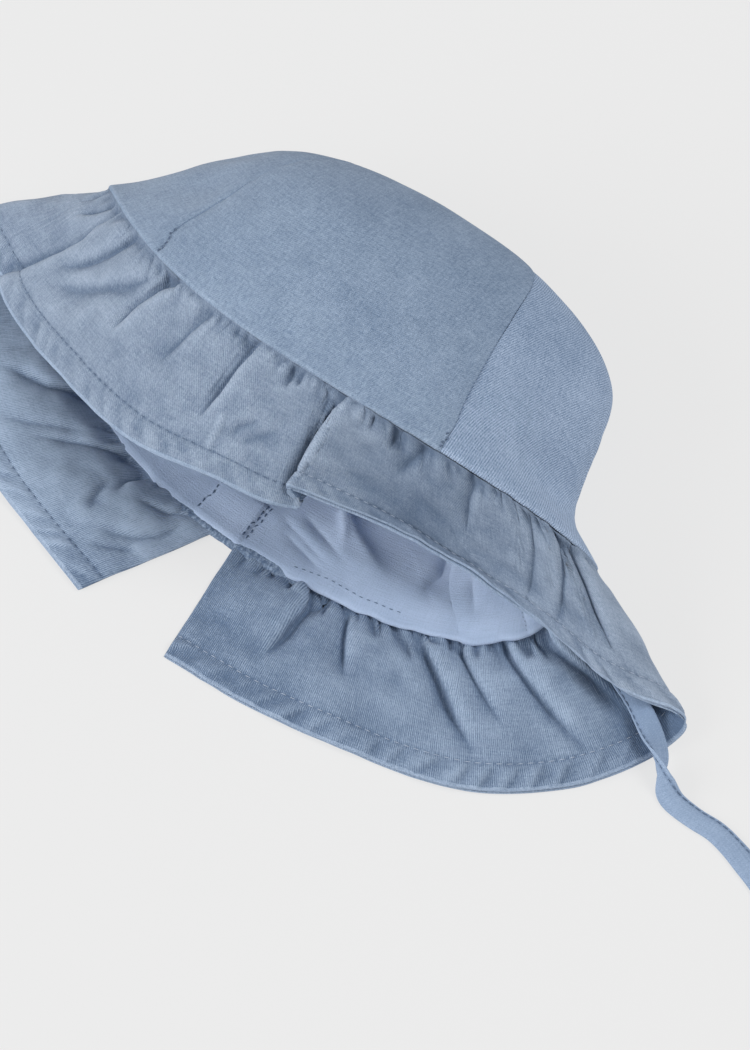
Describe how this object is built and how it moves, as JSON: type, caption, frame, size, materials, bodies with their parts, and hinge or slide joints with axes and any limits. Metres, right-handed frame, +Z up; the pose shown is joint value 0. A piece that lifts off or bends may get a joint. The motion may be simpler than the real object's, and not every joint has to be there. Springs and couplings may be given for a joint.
{
  "type": "baby bucket hat",
  "caption": "Soft lined baby bucket hat with a gathered ruffle brim open at the back and flat chin ties, lying on its back with the front panel up.",
  "frame": {"origin": "on the flat outer face of the crown's back panel, where the hat rests on a surface", "axes": "+Z up out of the surface, +Y from the opening to the top of the crown, +X to the hat's right side"},
  "size_m": [0.4023, 0.1668, 0.071],
  "materials": {
    "outer_cloth": "soft washed light blue twill, matte",
    "lining_cloth": "paler plain-weave cotton, matte",
    "tie_cloth": "folded and topstitched strip of the outer cloth, matte"
  },
  "bodies": {
    "root": {"crown_front": "outer_cloth", "crown_right": "outer_cloth", "crown_back": "outer_cloth", "crown_left": "outer_cloth", "lining": "lining_cloth", "brim_ruffle": "outer_cloth", "tie_right": "tie_cloth", "tie_left": "tie_cloth"}
  },
  "joints": []
}
